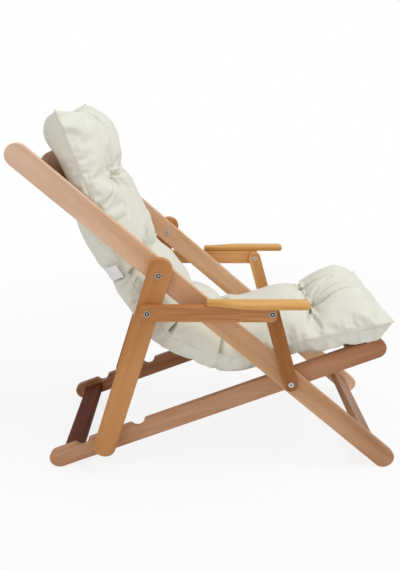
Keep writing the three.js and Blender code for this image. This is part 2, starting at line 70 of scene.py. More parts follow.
def direction(a, b):
    """The slope of the line from a to b in the side plane, from +X towards +Z."""
    return math.atan2(b.z - a.z, b.x - a.x)


def along(start, angle, reach, up=0.0):
    """A point of the side plane, reached along an angle and then square to it, upwards."""
    c, s = math.cos(angle), math.sin(angle)
    return start + Vector((c * reach - s * up, 0, s * reach + c * up))


MAIN = flat(middle("main_bolt_left"))
LEG = flat(middle("leg_bolt_left"))
ARM_REAR = flat(middle("arm_rear_bolt_left"))
ARM_FRONT = flat(middle("arm_front_bolt_left"))
BACK_ANGLE = direction(MAIN, LEG)
SEAT_ANGLE = direction(flat(middle("rear_stretcher")), flat(middle("seat_front_bar")))
LEG_ANGLE = direction(LEG, ARM_REAR)
POST_ANGLE = direction(MAIN, ARM_FRONT)
ARM_ANGLE = direction(ARM_REAR, ARM_FRONT)

# Sizes that the boards share with the solids
BACK_WIDTH, BACK_FOOT, BACK_HEAD = 0.060, 0.3756, 0.9246
SEAT_WIDTH, SEAT_REAR, SEAT_FRONT, SEAT_DROP = 0.056, 0.7086, 0.252, 0.006
LEG_WIDTH, LEG_TOP, LEG_END = 0.062, 0.015, 0.532
POST_WIDTH, POST_TAIL = 0.040, 0.002
ARM_WIDTH, ARM_DROP, ARM_TAIL, ARM_NOSE, ARM_CORNER = 0.043, 0.0015, 0.021, 0.013, 0.013
NOTCH_RADIUS, NOTCH_DEPTH, NOTCH_LIP = 0.020, 0.016, 0.0075
NOTCHES = (-0.448, -0.536, -0.624)
BOARD_EASE, CROSS_EASE = 0.0018, 0.003
TOUCH_GAP = 0.0003  # between pieces that lie on each other


# ---- Finishes ----
# Length and width of one cell of the wood's figure, streaks and pores
FIGURE_CELL, STREAK_CELL, PORE_CELL = (0.60, 0.055), (0.11, 0.0042), (0.030, 0.0011)
SHIFT_REAR, SHIFT_FRONT = -0.40, 0.45  # where a board's change of tone starts and ends, along x
WAVE_STEP = 0.314  # spacing of a wave node's bands at scale 1


def tone(r, g, b):
    """A colour read off in 0 to 255, made linear."""
    return tuple(
        (c / 255 / 12.92) if c / 255 <= 0.04045 else ((c / 255 + 0.055) / 1.055) ** 2.4
        for c in (r, g, b)
    ) + (1.0,)


def grey(value):
    """One value in every channel."""
    return (value, value, value, 1)


class Finish:
    """A node material with short ways to add and join its nodes."""

    def __init__(self, name):
        self.material = bpy.data.materials.new(name)
        self.material.use_nodes = True
        self.tree = self.material.node_tree
        self.surface = self.tree.nodes["Principled BSDF"]
        self.output = self.tree.nodes["Material Output"]

    def feed(self, value, socket):
        """Joins an output to a socket, or writes a plain value on it."""
        if isinstance(value, bpy.types.NodeSocket):
            self.tree.links.new(value, socket)
        else:
            socket.default_value = value

    def add(self, kind, inputs=None, **settings):
        node = self.tree.nodes.new(kind)
        for key, value in settings.items():
            setattr(node, key, value)
        for key, value in (inputs or {}).items():
            self.feed(value, node.inputs[key])
        return node

    def ramp(self, factor, *stops):
        node = self.add("ShaderNodeValToRGB", {"Fac": factor})
        marks = node.color_ramp.elements
        while len(marks) < len(stops):
            marks.new(0.5)
        for mark, (place, colour) in zip(marks, stops):
            mark.position, mark.color = place, colour
        return node.outputs["Color"]

    def mix(self, factor, a, b, blend="MIX"):
        node = self.add("ShaderNodeMix", data_type="RGBA", blend_type=blend)
        for number, value in ((0, factor), (6, a), (7, b)):
            self.feed(value, node.inputs[number])
        return node.outputs[2]

    def bump(self, height, strength, distance, normal=None):
        inputs = {"Height": height, "Strength": strength, "Distance": distance}
        if normal:
            inputs["Normal"] = normal
        return self.add("ShaderNodeBump", inputs).outputs["Normal"]

    def join(self, value, name):
        self.feed(value, self.surface.inputs[name])


def oiled_wood(name, turn, light, middle_tone, dark, vein=0.22, gloss=0.3, length_shift=()):
    """Straight, fine-grained hardwood along a board turned by the given angles; a ramp along x can darken it from rear
    to front.
    """
    wood = Finish(name)
    place = wood.add("ShaderNodeTexCoord").outputs["Object"]

    def grain(cell, detail, roughness, distortion=0.0):
        """Noise with cells of the given length along the board and width across it."""
        length, width = cell
        stretched = wood.add(
            "ShaderNodeMapping",
            {"Vector": place, "Rotation": turn, "Scale": (length, width, width)},
            vector_type="TEXTURE",
        ).outputs["Vector"]
        inputs = {"Scale": 1.0, "Detail": detail, "Roughness": roughness, "Distortion": distortion}
        return wood.add("ShaderNodeTexNoise", {"Vector": stretched, **inputs}).outputs["Fac"]

    figure = grain(FIGURE_CELL, 3.0, 0.5, 0.4)
    streaks = grain(STREAK_CELL, 5.0, 0.6, 0.3)
    pores = grain(PORE_CELL, 3.0, 0.6)
    base = wood.ramp(figure, (0.34, dark), (0.49, middle_tone), (0.64, light))
    veined = wood.mix(wood.ramp(streaks, (0.38, grey(vein)), (0.60, grey(0))), base, dark)
    fleck = wood.ramp(pores, (0.30, (0.72, 0.68, 0.64, 1)), (0.47, grey(1)))
    grained = wood.mix(0.35, veined, fleck, "MULTIPLY")
    # A ramp along x darkens the board towards the front.
    if length_shift:
        forward = wood.add("ShaderNodeSeparateXYZ", {"Vector": place}).outputs["X"]
        spread = wood.add(
            "ShaderNodeMapRange", {"Value": forward, "From Min": SHIFT_REAR, "From Max": SHIFT_FRONT}
        ).outputs[0]
        grained = wood.mix(1.0, grained, wood.ramp(spread, *length_shift), "MULTIPLY")
    wood.join(grained, "Base Color")
    wood.join(wood.ramp(streaks, (0.3, grey(0.56)), (0.7, grey(0.42))), "Roughness")
    wood.join(wood.bump(pores, 0.18, 0.0003), "Normal")
    wood.join(gloss, "Specular IOR Level")
    return wood.material


def slope(angle):
    """The turn of a piece that lies along an angle of the side plane."""
    return (0, -angle, 0)


ACROSS = (0, 0, math.pi / 2)
RAIL_TONES = (tone(238, 198, 166), tone(224, 178, 140), tone(204, 154, 112))
PALE_TONES = (tone(238, 206, 182), tone(225, 188, 160), tone(206, 164, 130))
SEAT_TONES = (tone(196, 149, 112), tone(184, 132, 98), tone(162, 109, 75))
SHADE_TONES = (tone(164, 113, 78), tone(150, 99, 66), tone(128, 81, 52))
# Darker tones of the foot cross board: painted shade, for a board that faces away from the light.
SHADED_FOOT_TONES = (tone(172, 128, 92), tone(160, 114, 78), tone(140, 94, 62))
LEG_TONES = (tone(203, 145, 88), tone(191, 129, 74), tone(173, 109, 59))
POST_TONES = (tone(190, 132, 73), tone(172, 112, 55), tone(148, 90, 41))
ARM_RAIL_TONES = (tone(206, 146, 94), tone(190, 128, 75), tone(164, 102, 56))
GOLD_TONES = (tone(238, 187, 128), tone(229, 175, 115), tone(208, 152, 90))
REST_TONES = (tone(226, 176, 105), tone(214, 160, 87), tone(192, 136, 65))
# Darker tones of the rear cross board: painted shade, for a board that stands in shade.
SHADED_REAR_TONES = (tone(122, 64, 37), tone(106, 51, 29), tone(88, 41, 22))
# Tone ramps along x for the back and seat rails: darker towards the front.
RAIL_SHIFT = (
    (0.05, grey(1)), (0.22, (0.95, 0.84, 0.70, 1)), (0.45, (0.84, 0.69, 0.49, 1)),
    (0.86, (0.78, 0.66, 0.50, 1)), (1.0, (0.63, 0.50, 0.36, 1)),
)
SEAT_SHIFT = ((0.72, grey(1)), (1.0, (0.80, 0.70, 0.58, 1)))
back_wood = {
    "left": oiled_wood("back_wood_left", slope(BACK_ANGLE), *RAIL_TONES),
    "right": oiled_wood("back_wood_right", slope(BACK_ANGLE), *PALE_TONES, length_shift=RAIL_SHIFT),
}
# The left seat rail's darker tones are painted shade on the far rail.
seat_wood = {
    "left": oiled_wood("seat_wood_left", slope(SEAT_ANGLE), *SHADE_TONES),
    "right": oiled_wood("seat_wood_right", slope(SEAT_ANGLE), *SEAT_TONES, vein=0.4, length_shift=SEAT_SHIFT),
}
leg_wood = oiled_wood("leg_wood", slope(LEG_ANGLE), *LEG_TONES)
post_wood = {
    "left": oiled_wood("post_wood_left", slope(POST_ANGLE), *GOLD_TONES),
    "right": oiled_wood("post_wood_right", slope(POST_ANGLE), *POST_TONES, vein=0.6),
}
arm_rail_wood = {
    "left": oiled_wood("arm_rail_wood_left", slope(ARM_ANGLE), *GOLD_TONES),
    "right": oiled_wood("arm_rail_wood_right", slope(ARM_ANGLE), *ARM_RAIL_TONES, vein=0.6),
}
armrest_wood = oiled_wood("armrest_wood", slope(ARM_ANGLE), *REST_TONES, vein=0.35)
cross_wood = oiled_wood("cross_wood", ACROSS, *SEAT_TONES)
# The foot cross board's darker finish is painted shade.
shaded_foot_wood = oiled_wood("shaded_foot_wood", ACROSS, *SHADED_FOOT_TONES)
# The rear cross board's dark finish is painted shade.
shaded_rear_wood = oiled_wood("shaded_rear_wood", ACROSS, *SHADED_REAR_TONES, gloss=0.05)


def turned_metal(name, light, shade, smooth, rough, metallic=1.0):
    """Plated steel with faint turning marks."""
    metal = Finish(name)
    place = metal.add("ShaderNodeTexCoord").outputs["Object"]
    grain = metal.add("ShaderNodeTexNoise", {"Vector": place, "Scale": 900.0, "Detail": 2.0}).outputs["Fac"]
    metal.join(metal.ramp(grain, (0.3, shade), (0.7, light)), "Base Color")
    metal.join(metal.ramp(grain, (0.2, grey(smooth)), (0.8, grey(rough))), "Roughness")
    metal.join(metal.bump(grain, 0.08, 0.0002), "Normal")
    metal.join(metallic, "Metallic")
    return metal.material


def canvas(name, light, shade, thread=0.0011, painted_shade=None):
    """Plain-woven cotton: threads follow the pad's own map, in metres, and painted shade darkens deep creases and sewn
    pits towards a given tone.
    """
    cloth = Finish(name)
    weave_map = cloth.add("ShaderNodeUVMap", uv_map="cloth").outputs["UV"]
    place = cloth.add("ShaderNodeTexCoord").outputs["Object"]
    warp, weft = (
        cloth.add(
            "ShaderNodeTexWave",
            {"Vector": weave_map, "Scale": WAVE_STEP / thread, "Distortion": 0.4, "Detail": 1.0},
            bands_direction=way,
        ).outputs["Fac"]
        for way in "XY"
    )
    weave = cloth.add("ShaderNodeMath", {0: warp, 1: weft}, operation="MULTIPLY").outputs[0]
    slub = cloth.add("ShaderNodeTexNoise", {"Vector": place, "Scale": 26.0, "Detail": 5.0}).outputs["Fac"]
    crinkle = cloth.add("ShaderNodeTexNoise", {"Vector": place, "Scale": 60.0, "Detail": 4.0}).outputs["Fac"]
    base = cloth.ramp(slub, (0.3, shade), (0.6, light))
    if painted_shade:
        # Painted shade: marked creases and pits are darkened towards the given shade tone.
        crease = cloth.add("ShaderNodeAttribute", attribute_name="crease").outputs["Fac"]
        base = cloth.mix(cloth.ramp(crease, (0.18, grey(0)), (1.0, grey(0.8))), base, painted_shade)
    woven = cloth.mix(0.12, base, cloth.ramp(weave, (0.0, grey(0.6)), (0.6, grey(1))), "MULTIPLY")
    cloth.join(woven, "Base Color")
    soft = cloth.bump(crinkle, 0.06, 0.003)
    cloth.join(cloth.bump(weave, 0.16, 0.0003, soft), "Normal")
    cloth.join(0.92, "Roughness")
    cloth.join(0.2, "Specular IOR Level")
    cloth.join(0.12, "Sheen Weight")
    return cloth.material


steel = turned_metal("pivot_steel", tone(206, 204, 201), tone(180, 178, 175), 0.30, 0.46)
# Dark steel for the cap grooves and sockets: painted shade in the recesses.
recess_shade = turned_metal("bolt_recess_shade", tone(58, 54, 52), tone(38, 35, 34), 0.45, 0.60, 0.6)
# The pad's olive grey tone is painted shade for its creases and pits.
pad_cloth = canvas("pad_canvas", tone(231, 231, 218), tone(226, 226, 212), painted_shade=tone(158, 154, 116))
seam_cloth = canvas("seam_canvas", tone(226, 222, 205), tone(214, 209, 190), thread=0.0009)
tag_cloth = canvas("tag_cloth", tone(243, 243, 243), tone(234, 234, 236), thread=0.0006)


# ---- Shaping helpers ----
def choose(piece):
    """Selects one piece alone and makes it active."""
    bpy.ops.object.select_all(action="DESELECT")
    piece.select_set(True)
    bpy.context.view_layer.objects.active = piece


def edit(select="DESELECT"):
    bpy.ops.object.mode_set(mode="EDIT")
    bpy.ops.mesh.select_all(action=select)


def leave_edit():
    bpy.ops.object.mode_set(mode="OBJECT")


def face_outwards():
    """Turns the active piece's faces outwards."""
    edit("SELECT")
    bpy.ops.mesh.normals_make_consistent(inside=False)
    leave_edit()


def pick(piece, kind, wanted):
    """Selects the faces or edges of a piece in edit mode for which wanted is true."""
    bpy.ops.mesh.select_all(action="DESELECT")
    bpy.ops.mesh.select_mode(type=kind)
    leave_edit()
    mesh = piece.data
    for item in mesh.polygons if kind == "FACE" else mesh.edges:
        item.select = wanted(item)
    bpy.ops.object.mode_set(mode="EDIT")


def apply_all(piece):
    choose(piece)
    for modifier in list(piece.modifiers):
        bpy.ops.object.modifier_apply(modifier=modifier.name)


def settle(piece, spot=None, turn=None):
    """Turns and moves a piece to its place, and keeps the place in its mesh."""
    if turn is not None:
        piece.rotation_euler = turn
    if spot is not None:
        piece.location = spot
    choose(piece)
    bpy.ops.object.transform_apply(location=True, rotation=True, scale=True)


def ease(piece, width=BOARD_EASE, segments=3, angle=50):
    """Rounds the edges that are sharper than an angle, and keeps the flats flat."""
    bevel = piece.modifiers.new("ease", "BEVEL")
    bevel.width, bevel.segments, bevel.angle_limit = width, segments, math.radians(angle)
    bevel.limit_method = "ANGLE"
    apply_all(piece)
    bpy.ops.object.shade_smooth_by_angle(angle=math.radians(38))
    level = piece.modifiers.new("level", "WEIGHTED_NORMAL")
    level.keep_sharp = True
    apply_all(piece)


def coat(piece, finish):
    piece.data.materials.clear()
    piece.data.materials.append(finish)


def dress(piece, name, finish, body, slot, *nodes):
    """Names and coats a piece, with its body and replaced nodes; the slot is not used."""
    piece.name = piece.data.name = name
    coat(piece, finish)
    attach(piece, body)
    if nodes:
        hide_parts(*nodes)


def layer_of(node):
    """The middle and the thickness of a packed board, across the chair."""
    low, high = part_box(node)
    return (low.y + high.y) / 2, high.y - low.y


def board_from_outline(points, thickness):
    """A board cut to an outline of the side plane, its middle at y = 0."""
    bpy.ops.mesh.primitive_circle_add(vertices=len(points), radius=0.1, fill_type="NGON")
    piece = bpy.context.object
    for vertex, point in zip(piece.data.vertices, points):
        vertex.co = (point.x, -thickness / 2, point.z)
    edit("SELECT")
    bpy.ops.mesh.extrude_region_move(TRANSFORM_OT_translate={"value": (0, thickness, 0)})
    bpy.ops.mesh.select_all(action="SELECT")
    bpy.ops.mesh.normals_make_consistent(inside=False)
    leave_edit()
    return piece


def arc(x, z, radius, start, end, steps):
    """Points on an arc of the side plane."""
    return [
        Vector((x + radius * math.cos(t), 0, z + radius * math.sin(t)))
        for t in np.linspace(start, end, steps)
    ]


ROUND_STEPS, CORNER_STEPS = 14, 8


def rounded_board(length, thickness, width, radius, steps):
    """A board along X on the origin, with its four corners rounded in the side plane."""
    x, z = length / 2 - radius, width / 2 - radius
    outline = []
    for i, (cx, cz) in enumerate(((x, z), (-x, z), (-x, -z), (x, -z))):
        corner = arc(cx, cz, radius, i * math.pi / 2, (i + 1) * math.pi / 2, steps)
        outline += corner if z > 1e-6 or i % 2 == 0 else corner[:-1]
    return board_from_outline(outline, thickness)


def round_board(name, node, start, end, width, finish, body, slot):
    """A board with full-round ends, from the centre of one end to the other."""
    y, thickness = layer_of(node)
    piece = rounded_board((end - start).length + width, thickness, width, width / 2, ROUND_STEPS)
    ease(piece)
    centre = (start + end) / 2
    settle(piece, (centre.x, y, centre.z), slope(direction(start, end)))
    dress(piece, name, finish, body, slot, node)


# ---- Boards ----
RAIL_END_STEPS, LIP_STEPS, NOTCH_STEPS = 24, 7, 18
for side_name, _ in SIDES:
    round_board(
        "back_board_" + side_name, "back_rail_" + side_name,
        along(MAIN, BACK_ANGLE, BACK_HEAD), along(MAIN, BACK_ANGLE, -BACK_FOOT),
        BACK_WIDTH, back_wood[side_name], "back_frame", "frame_wood",
    )
    round_board(
        "leg_board_" + side_name, "prop_leg_" + side_name,
        along(LEG, LEG_ANGLE, -LEG_TOP), along(LEG, LEG_ANGLE, LEG_END),
        LEG_WIDTH, leg_wood, "prop_legs", "leg_wood",
    )
    round_board(
        "post_board_" + side_name, "arm_post_" + side_name,
        ARM_FRONT, along(MAIN, POST_ANGLE, -POST_TAIL),
        POST_WIDTH, post_wood[side_name], "arm_post_assembly_" + side_name, "armrest_wood",
    )

    # Seat rail, with its notches
    half = SEAT_WIDTH / 2
    top = half - SEAT_DROP
    centre_up = top + NOTCH_RADIUS - NOTCH_DEPTH
    run = math.sqrt((NOTCH_RADIUS + NOTCH_LIP) ** 2 - (centre_up - top + NOTCH_LIP) ** 2)
    lip = math.atan2(centre_up - top + NOTCH_LIP, run)
    outline = arc(-SEAT_REAR, -SEAT_DROP, half, 1.5 * math.pi, 0.5 * math.pi, RAIL_END_STEPS)
    for spot in sorted(NOTCHES):
        outline += arc(spot - run, top - NOTCH_LIP, NOTCH_LIP, 0.5 * math.pi, lip, LIP_STEPS)
        outline += arc(spot, centre_up, NOTCH_RADIUS, math.pi + lip, 2 * math.pi - lip, NOTCH_STEPS)[1:-1]
        outline += arc(spot + run, top - NOTCH_LIP, NOTCH_LIP, math.pi - lip, 0.5 * math.pi, LIP_STEPS)
    outline += arc(SEAT_FRONT, -SEAT_DROP, half, 0.5 * math.pi, -0.5 * math.pi, RAIL_END_STEPS)
    y, thickness = layer_of("seat_rail_" + side_name)
    rail = board_from_outline(outline, thickness)
    ease(rail)
    settle(rail, (MAIN.x, y, MAIN.z), slope(SEAT_ANGLE))
    dress(rail, "seat_board_" + side_name, seat_wood[side_name], "seat_frame", "frame_wood",
          "seat_rail_" + side_name)

    # Arm rail, on edge
    y, thickness = layer_of("arm_rail_" + side_name)
    reach = (ARM_FRONT - ARM_REAR).length
    rail = rounded_board(reach + ARM_TAIL + ARM_NOSE, thickness, ARM_WIDTH, ARM_CORNER, CORNER_STEPS)
    ease(rail)
    spot = along(ARM_REAR, ARM_ANGLE, (reach + ARM_NOSE - ARM_TAIL) / 2, -ARM_DROP)
    settle(rail, (spot.x, y, spot.z), slope(ARM_ANGLE))
    dress(rail, "arm_board_" + side_name, arm_rail_wood[side_name], "arm_assembly_" + side_name, "leg_wood",
          "arm_rail_" + side_name)

# Armrests: paddles with a straight inner edge, widening to the front
REST_BACK, REST_LENGTH, REST_REAR, REST_WIDTH, REST_NECK = 0.152, 0.266, 0.024, 0.049, 0.122
REST_CORNER, REST_SMALL, REST_THICK, REST_ROUND = 0.014, 0.006, 0.016, 0.0062
REST_NOSE_STEPS, REST_TAIL_STEPS, REST_CURVE_STEPS, REST_ROUND_STEPS = 10, 6, 22, 5
for side_name, side in SIDES:
    x0, x1 = REST_BACK, REST_BACK + REST_LENGTH
    neck = x0 + REST_NECK
    tail, nose = x0 + REST_SMALL, x1 - REST_CORNER
    outline = arc(tail, REST_SMALL, REST_SMALL, math.pi, 1.5 * math.pi, REST_TAIL_STEPS)
    outline += arc(nose, REST_CORNER, REST_CORNER, 1.5 * math.pi, 2 * math.pi, REST_NOSE_STEPS)
    outline += arc(nose, REST_WIDTH - REST_CORNER, REST_CORNER, 0, 0.5 * math.pi, REST_NOSE_STEPS)
    for t in np.linspace(0, 1, REST_CURVE_STEPS):
        k = 3 * t * t - 2 * t**3
        outline.append(Vector((neck + (tail - neck) * t, 0, REST_WIDTH + (REST_REAR - REST_WIDTH) * k)))
    outline += arc(tail, REST_REAR - REST_SMALL, REST_SMALL, 0.5 * math.pi, math.pi, REST_TAIL_STEPS)[1:]
    paddle = board_from_outline(outline, REST_THICK)
    settle(paddle, None, (math.pi / 2, 0, 0))  # the outline's height becomes -y
    if side > 0:
        paddle.scale = (1, -1, 1)
        settle(paddle)
        face_outwards()
    ease(paddle, REST_ROUND, REST_ROUND_STEPS)
    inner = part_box("armrest_" + side_name)[0 if side > 0 else 1].y
    lift = ARM_WIDTH / 2 - ARM_DROP + TOUCH_GAP + REST_THICK / 2
    spot = along(ARM_REAR, ARM_ANGLE, 0, lift)
    settle(paddle, (spot.x, inner, spot.z), slope(ARM_ANGLE))
    dress(paddle, "paddle_" + side_name, armrest_wood, "arm_assembly_" + side_name, "armrest_wood",
          "armrest_" + side_name)


# Cross boards between the rails, and the round bar between the legs
REAR_BAR, FRONT_BAR, HEAD_BAR, FOOT_BAR = -0.667, 0.207, 0.825, -0.322
CROSS_WIDTH, CROSS_THICK, HEAD_ARCH, ARCH_CUTS = 0.060, 0.020, 0.040, 21


def cross_board(name, node, spot, angle, gap_node, body, finish, arch):
    """A board that spans the chair between two rails; an arch raises the middle of its upper edge."""
    low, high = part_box(gap_node)
    span = 2 * (min(abs(low.y), abs(high.y)) - TOUCH_GAP)
    bpy.ops.mesh.primitive_cube_add(size=1, scale=(CROSS_WIDTH, span, CROSS_THICK))
    piece = bpy.context.object
    bpy.ops.object.transform_apply(scale=True)
    if arch:
        edit("SELECT")
        pick(piece, "EDGE", lambda e: abs(
            piece.data.vertices[e.vertices[0]].co.y - piece.data.vertices[e.vertices[1]].co.y) > span / 2)
        bpy.ops.mesh.subdivide(number_cuts=ARCH_CUTS)
        leave_edit()
        for vertex in piece.data.vertices:
            if vertex.co.x > 0:
                vertex.co.x += arch * (1 - abs(2 * vertex.co.y / span) ** 3)
    ease(piece, CROSS_EASE, 4)
    settle(piece, spot, slope(angle))
    dress(piece, name, finish, body, "frame_wood", node)


for name, node, reach, angle, gap_node, body, drop, finish, arch in (
    ("rear_cross_board", "rear_stretcher", REAR_BAR, SEAT_ANGLE, "seat_rail_left", "seat_frame", SEAT_DROP,
     shaded_rear_wood, 0),
    ("front_cross_board", "seat_front_bar", FRONT_BAR, SEAT_ANGLE, "seat_rail_left", "seat_frame", SEAT_DROP,
     cross_wood, 0),
    ("head_cross_board", "head_bar", HEAD_BAR, BACK_ANGLE, "back_rail_left", "back_frame", 0.0,
     cross_wood, HEAD_ARCH),
    ("foot_cross_board", "foot_stretcher", FOOT_BAR, BACK_ANGLE, "back_rail_left", "back_frame", 0.0,
     shaded_foot_wood, 0),
):
    cross_board(name, node, along(MAIN, angle, reach, -drop), angle, gap_node, body, finish, arch)

low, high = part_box("prop_bar")
bpy.ops.mesh.primitive_cylinder_add(vertices=40, radius=(high.x - low.x) / 2, depth=high.y - low.y)
bar = bpy.context.object
ease(bar, 0.001, 2)
settle(bar, (low + high) / 2, (math.pi / 2, 0, 0))
dress(bar, "round_bar", cross_wood, "prop_legs", "leg_wood", "prop_bar")


# ---- Pivot hardware ----
CAP_SIDES, FLANGE_THICK, CAP_EASE, CAP_FRONT = 40, 0.0026, 0.0003, 0.0035
GROOVE_RADIUS, SOCKET_RADIUS, WALL_LEAN, GROOVE_DEPTH = 0.0062, 0.0022, 0.0002, 0.0012
PIN_LEAN, PIN_CROWN, PIN_RISE, SOCKET_FLOOR, SOCKET_SINK = 0.0001, 0.0005, 0.0003, 0.0010, 0.0004
STUB_RADIUS, STUB_SHORT = 0.004, 0.0028


def pointing(sign):
    """A test for faces that point up for 1 and down for -1."""
    return lambda f: f.normal.z * sign > 0.9


def cap(name, node, body, outward, pin):
    """A flanged cap; a wide pin stands bright in a groove, and with none a small socket is sunk in it; groove and
    socket are coloured dark as painted shade.
    """
    low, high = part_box(node)
    centre = (low + high) / 2
    radius = (high.x - low.x) / 2
    face = high.y if outward > 0 else low.y
    depth = high.y - low.y
    groove = GROOVE_RADIUS if pin else SOCKET_RADIUS
    bpy.ops.mesh.primitive_cylinder_add(vertices=CAP_SIDES, radius=radius, depth=FLANGE_THICK)
    piece = bpy.context.object
    edit()
    pick(piece, "FACE", pointing(1))
    bpy.ops.mesh.inset(thickness=radius - groove, depth=0.0)
    bpy.ops.mesh.inset(thickness=WALL_LEAN, depth=-GROOVE_DEPTH)
    if pin:
        bpy.ops.mesh.inset(thickness=groove - WALL_LEAN - pin, depth=0.0)
        bpy.ops.mesh.inset(thickness=PIN_LEAN, depth=GROOVE_DEPTH)
        bpy.ops.mesh.inset(thickness=PIN_CROWN, depth=PIN_RISE)
    else:
        bpy.ops.mesh.inset(thickness=SOCKET_FLOOR, depth=-SOCKET_SINK)
    pick(piece, "FACE", pointing(-1))
    bpy.ops.mesh.inset(thickness=radius - STUB_RADIUS, depth=0.0)
    bpy.ops.mesh.inset(thickness=0.0, depth=depth - STUB_SHORT)
    leave_edit()
    ease(piece, CAP_EASE, 2, 40)
    settle(piece, (centre.x, face - outward * FLANGE_THICK / 2, centre.z), (-outward * math.pi / 2, 0, 0))
    dress(piece, name, steel, body, "steel", node)
    piece.data.materials.append(recess_shade)
    # Faces inside the groove or socket take the dark steel: painted shade.
    for f in piece.data.polygons:
        off = math.hypot(f.center.x - centre.x, f.center.z - centre.z)
        facing = f.normal.y * outward > 0.5
        if facing and abs(f.center.y - face) < CAP_FRONT and (pin or 0) < off < groove - PIN_LEAN:
            f.material_index = 1


for pivot, outer_body, inner_body, pin in (
    ("main", "back_frame", "back_frame", None),
    ("leg", "back_frame", "back_frame", 0.0028),
    ("arm_rear", "prop_legs", "prop_legs", 0.0026),
    ("arm_front", "arm_assembly_", "arm_post_assembly_", 0.0026),
):
    for side_name, side in SIDES:
        own = side_name if outer_body.endswith("_") else ""
        cap(f"{pivot}_cap_{side_name}", f"{pivot}_bolt_{side_name}", outer_body + own, side, pin)
        cap(f"{pivot}_inner_cap_{side_name}", f"{pivot}_nut_{side_name}", inner_body + own, -side, None)

for node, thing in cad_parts.items():
    if "washer" in node or "screw" in node:
        coat(thing, steel)

# ---- The pad ----
PAD_BACK, PAD_DEPTH, PAD_SEAT, PAD_HEIGHT = 0.925, 0.112, 0.330, 0.072
PAD_THICK, PAD_HALF = 0.080, 0.214
CROWN_POWER, CROWN_SHARE, BASE_POWER, BASE_SHARE = 2.6, 0.62, 4.0, 0.5
# Rows from head to knees: reach and offset of the seam, half width, swell above and below, flatness underneath
BACK_ROWS = (
    (1.0, -1.3, 1.01, 0.04, 0.04, 0),
    (0.995, -1.27, 1.01, 0.42, 0.44, 0),
    (0.975, -1.18, 1.0, 0.65, 0.78, 0),
    (0.944, -1.04, 0.99, 0.84, 0.84, 0),
    (0.898, -0.83, 0.98, 0.92, 0.74, 0),
    (0.85, -0.6, 0.97, 0.95, 0.68, 0),
    (0.8, -0.375, 0.97, 0.9, 0.7, 0),
    (0.757, -0.14, 0.97, 0.9, 0.84, 0),
    (0.71, 0.09, 0.98, 0.96, 0.96, 0),
    (0.63, 0.38, 0.97, 1.0, 0.9, 0),
    (0.565, 0.6, 0.96, 0.97, 0.84, 0),
    (0.5, 0.79, 0.97, 1.07, 0.84, 0),
    (0.42, 0.98, 0.97, 1.14, 0.84, 0),
    (0.363, 1.12, 0.97, 1.12, 0.79, 0),
)
SEAT_ROWS = (
    (-0.62, 2.36, 0.97, 1.14, 0.81, 0),
    (-0.43, 1.66, 0.97, 1.06, 0.9, 0),
    (-0.21, 1.36, 0.97, 0.86, 0.86, 0),
    (0.0, 1.28, 0.97, 0.84, 0.78, 0),
    (0.164, 1.24, 0.975, 0.8, 0.78, 0),
    (0.324, 1.14, 0.98, 0.71, 0.82, 0.3),
    (0.424, 1.1, 0.99, 0.75, 0.76, 0.5),
    (0.533, 1.055, 1.0, 0.92, 0.65, 0.7),
    (0.68, 1.0, 1.02, 1.0, 0.66, 0.85),
    (0.8, 0.92, 1.04, 0.9, 0.62, 0.9),
    (0.89, 0.86, 1.05, 0.6, 0.5, 0.7),
    (0.95, 0.85, 1.06, 0.3, 0.25, 0.3),
    (0.97, 0.85, 1.06, 0.04, 0.04, 0),
)


def pad_rows():
    """All rows in metres: x and z of the seam, half width, swell above and below, and flatness."""
    rows = []
    for part, angle, length, height in (
        (BACK_ROWS, BACK_ANGLE, PAD_BACK, PAD_DEPTH), (SEAT_ROWS, SEAT_ANGLE, PAD_SEAT, PAD_HEIGHT)
    ):
        for reach, off, half, above, below, flatness in part:
            spot = along(MAIN, angle, reach * length, off * height)
            rows.append((spot.x, spot.z, half * PAD_HALF, above * PAD_THICK, below * PAD_THICK, flatness))
    return np.array(rows)


def smooth_rows(rows, count):
    """Rows at even steps along the middle, by a curve through the given ones."""
    fine = np.linspace(0, len(rows) - 1, 2000)
    padded = np.vstack([2 * rows[0] - rows[1], rows, 2 * rows[-1] - rows[-2]])
    k = np.clip(fine.astype(int), 0, len(rows) - 2)
    t = (fine - k)[:, None]
    p0, p1, p2, p3 = (padded[k + i] for i in range(4))
    curve = 0.5 * (2 * p1 + (p2 - p0) * t + (2 * p0 - 5 * p1 + 4 * p2 - p3) * t**2
                   + (3 * p1 - p0 - 3 * p2 + p3) * t**3)
    steps = np.hypot(*np.diff(curve[:, :2], axis=0).T)
    length = np.concatenate([[0], np.cumsum(steps)])
    wanted = np.linspace(0, length[-1], count)
    even = np.stack([np.interp(wanted, length, curve[:, i]) for i in range(rows.shape[1])], 1)
    return even, wanted


ALONG_COUNT, ACROSS_COUNT = 156, 48  # points of the pad's grid, before it is made finer
ROWS, REACH = smooth_rows(pad_rows(), ALONG_COUNT)


def downhill():
    """The direction of the pad's middle at each row, from head to knees."""
    slope_of = np.gradient(ROWS[:, :2], axis=0)
    return slope_of / np.hypot(*slope_of.T)[:, None]


def row_at(point, lift=0.0):
    """How far along the pad the row lies that passes a point of the side plane, lifted by a share of its swell."""
    rise = ROWS[:, 3] * lift
    way = downhill()
    x, z = ROWS[:, 0] - way[:, 1] * rise, ROWS[:, 1] + way[:, 0] * rise
    return REACH[np.argmin(np.hypot(x - point.x, z - point.z))]


